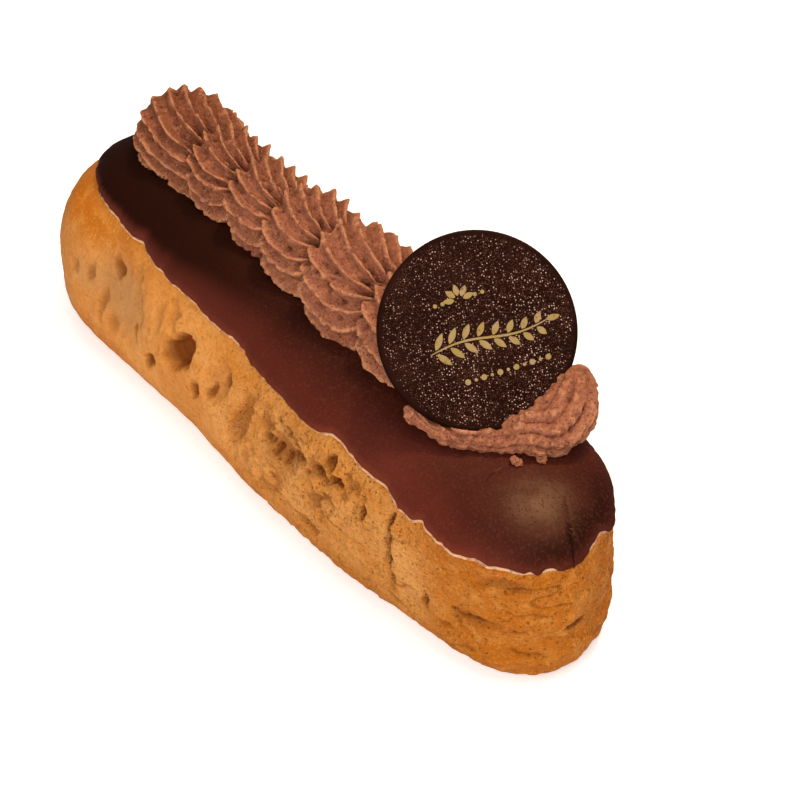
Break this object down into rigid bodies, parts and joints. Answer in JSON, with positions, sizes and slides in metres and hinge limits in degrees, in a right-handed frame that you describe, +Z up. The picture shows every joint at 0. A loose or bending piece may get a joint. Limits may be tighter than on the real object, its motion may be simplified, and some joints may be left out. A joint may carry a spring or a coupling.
{
  "type": "chocolate eclair",
  "caption": "Iced chocolate eclair: choux pastry finger with a dark chocolate icing cap, a piped chocolate cream rope and a round chocolate disc.",
  "frame": {"origin": "centre of the whole eclair's box at the level of its flat foot", "axes": "+X along the eclair towards the iced end that the cream leaves bare, +Y towards the side that the cream rope lies nearer to, +Z up"},
  "size_m": [0.1496, 0.0474, 0.064],
  "materials": {
    "choux": "baked choux crust, golden brown, matt",
    "icing": "dark chocolate icing, smooth, softly glossy",
    "cream": "whipped chocolate cream, matt with a faint grain",
    "disc_chocolate": "dark chocolate with a fine raised grain"
  },
  "bodies": {
    "root": {"choux_pastry": "choux", "chocolate_icing": "icing", "piped_cream": "cream", "chocolate_disc": "disc_chocolate"}
  },
  "joints": []
}
